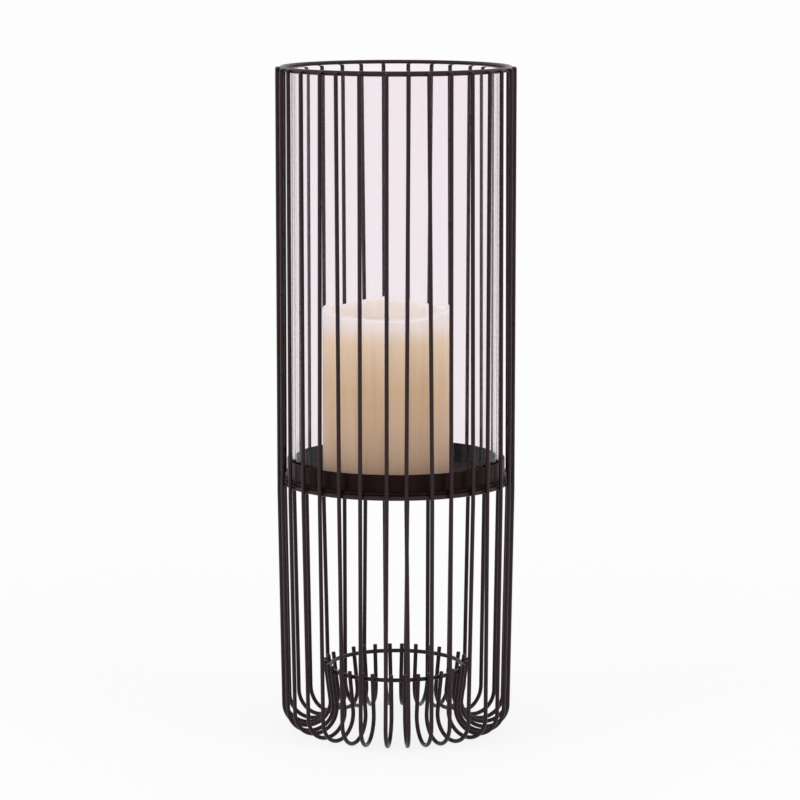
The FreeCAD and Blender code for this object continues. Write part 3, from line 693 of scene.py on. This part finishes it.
class LANTERN_OT_candle(bpy.types.Operator):
    """Make the wax pillar with its crowned, uneven rim and melted pool"""
    bl_idname = "lantern.candle"
    bl_label = "Candle"

    def execute(self, context):
        candle = context.scene.lantern_candle
        low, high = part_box("candle")
        radius = (high.x - low.x) / 2
        middle = Vector(((high.x + low.x) / 2, 0.0, 0.0))
        rim = high.z - candle.rim_back_rise
        pool_floor = rim - candle.pool_depth
        pool = radius - candle.rim_width
        bm = bmesh.new()
        turn_outline(bm, [
            (0.0, low.z), (radius, low.z), (radius, pool_floor), (radius, rim),
            (pool, rim), (pool, pool_floor), (0.0, pool_floor),
        ], candle.steps)
        base = circle_edges(bm, radius, low.z)
        crest = circle_edges(bm, radius, rim) + circle_edges(bm, pool, rim)
        hollow = circle_edges(bm, pool, pool_floor)
        round_edges(bm, base, candle.base_chamfer, 3)
        round_edges(bm, crest, candle.rim_round, 6)
        round_edges(bm, hollow, candle.pool_corner, 8)
        tilt = (candle.rim_back_rise + candle.rim_front_drop) / (2 * radius)
        crown = (candle.rim_back_rise - candle.rim_front_drop) / (2 * radius ** 2)
        for vertex in bm.verts:
            rise = max(0.0, (vertex.co.z - pool_floor) / candle.pool_depth)
            off_back = math.atan2(vertex.co.x, vertex.co.y)
            dip = candle.rim_wave * math.sin(2 * off_back) ** 2 if vertex.co.y > 0.0 else 0.0
            vertex.co.z += rise * (tilt * vertex.co.y + crown * vertex.co.y ** 2 - dip)
        bmesh.ops.translate(bm, verts=bm.verts[:], vec=middle)
        material = wax(candle, low.z, high.z)
        make_piece("candle_pillar", bm, material, "candle", ["candle"])
        return {"FINISHED"}


class LANTERN_OT_wick(bpy.types.Operator):
    """Make the twisted cotton wick with its burnt, curled end"""
    bl_idname = "lantern.wick"
    bl_label = "Wick"

    def execute(self, context):
        candle = context.scene.lantern_candle
        wax_low, wax_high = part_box("candle")
        low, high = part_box("wick")
        middle = (wax_low.x + wax_high.x) / 2
        pool_floor = wax_high.z - candle.rim_back_rise - candle.pool_depth
        bend_height = pool_floor + candle.wick_stand
        bm = bmesh.new()
        bmesh.ops.create_circle(bm, cap_ends=True, segments=candle.wick_sides, radius=candle.wick / 2,
                                matrix=Matrix.Translation((middle, 0.0, low.z)))
        bm.faces.ensure_lookup_table()
        end = extrude_run(bm, bm.faces[0], Vector((0.0, 0.0, bend_height - low.z)))
        curl_centre = Vector((middle - candle.wick_curl_radius, 0.0, bend_height))
        extrude_bend(bm, end, curl_centre, -candle.wick_curl, candle.wick_steps)
        material = wick_cotton(candle, pool_floor, high.z)
        make_piece("candle_wick", bm, material, "candle", ["wick"])
        return {"FINISHED"}


def add_softbox(name, place, aim, width, height, power):
    """Rectangular lamp that faces a point and leaves no bright patch in the glass."""
    lamp = bpy.data.lights.new(name, "AREA")
    lamp.shape = "RECTANGLE"
    lamp.size = width
    lamp.size_y = height
    lamp.energy = power
    softbox = bpy.data.objects.new(name, lamp)
    softbox.location = place
    softbox.rotation_euler = (aim - place).to_track_quat("-Z", "Y").to_euler()
    softbox.visible_glossy = False
    softbox.visible_transmission = False
    bpy.context.scene.collection.objects.link(softbox)


def add_camera(stage):
    """Camera a little above the tray, tilted down on the lantern's middle."""
    lens = bpy.data.cameras.new("studio_camera")
    lens.lens = stage.camera_lens
    lens.sensor_width = 36.0
    camera = bpy.data.objects.new("studio_camera", lens)
    back = stage.camera_distance * math.cos(stage.camera_pitch)
    lift = stage.camera_distance * math.sin(stage.camera_pitch)
    camera.location = (stage.camera_aside, -back, stage.camera_aim + lift)
    camera.rotation_euler = (math.pi / 2 - stage.camera_pitch, 0.0, 0.0)
    bpy.context.scene.collection.objects.link(camera)
    bpy.context.scene.camera = camera


class LANTERN_OT_stage(bpy.types.Operator):
    """Make the white floor, the soft lamps, the even world light and the camera"""
    bl_idname = "lantern.stage"
    bl_label = "Studio Stage"

    def execute(self, context):
        stage = context.scene.lantern_stage
        bm = bmesh.new()
        bmesh.ops.create_circle(bm, cap_ends=True, segments=stage.floor_steps, radius=stage.floor_radius)
        mesh = bpy.data.meshes.new("studio_floor")
        bm.to_mesh(mesh)
        bm.free()
        mesh.materials.append(floor_paper(stage))
        floor = bpy.data.objects.new("studio_floor", mesh)
        context.scene.collection.objects.link(floor)
        aim = Vector((0.0, 0.0, stage.camera_aim))
        add_softbox("overhead_softbox", Vector((0.0, -0.1, 1.9)), aim, 1.4, 1.4, 9.0)
        add_softbox("left_softbox", Vector((-1.5, -0.9, 0.7)), aim, 0.7, 1.4, 18.0)
        add_softbox("right_softbox", Vector((1.5, -0.9, 0.7)), aim, 0.7, 1.4, 17.0)
        add_softbox("back_softbox", Vector((0.0, 1.7, 0.9)), aim, 1.6, 0.7, 8.0)
        context.scene.world = white_world(stage)
        context.scene.view_settings.view_transform = "Standard"
        add_camera(stage)
        return {"FINISHED"}


class LANTERN_PT_pieces(bpy.types.Panel):
    """Lists the lantern's pieces in the sidebar"""
    bl_idname = "LANTERN_PT_pieces"
    bl_label = "Lantern"
    bl_space_type = "VIEW_3D"
    bl_region_type = "UI"
    bl_category = "Lantern"

    def draw(self, context):
        for operator in OPERATORS:
            self.layout.operator(operator.bl_idname)


SETTINGS = {
    "lantern_cage": LanternCageSettings,
    "lantern_tray": LanternTraySettings,
    "lantern_glass": LanternGlassSettings,
    "lantern_candle": LanternCandleSettings,
    "lantern_stage": LanternStageSettings,
}
OPERATORS = [
    LANTERN_OT_upright_wires,
    LANTERN_OT_wire_rings,
    LANTERN_OT_weld_beads,
    LANTERN_OT_tray,
    LANTERN_OT_glass,
    LANTERN_OT_candle,
    LANTERN_OT_wick,
    LANTERN_OT_stage,
]
CLASSES = [*SETTINGS.values(), *OPERATORS, LANTERN_PT_pieces]


def register():
    for item in CLASSES:
        bpy.utils.register_class(item)
    for name, settings in SETTINGS.items():
        setattr(bpy.types.Scene, name, PointerProperty(type=settings))


def unregister():
    for name in SETTINGS:
        delattr(bpy.types.Scene, name)
    for item in reversed(CLASSES):
        bpy.utils.unregister_class(item)


def main():
    register()
    bpy.ops.lantern.upright_wires()
    bpy.ops.lantern.wire_rings()
    bpy.ops.lantern.weld_beads()
    bpy.ops.lantern.tray()
    bpy.ops.lantern.glass()
    bpy.ops.lantern.candle()
    bpy.ops.lantern.wick()
    bpy.ops.lantern.stage()


if __name__ == "__main__":
    main()
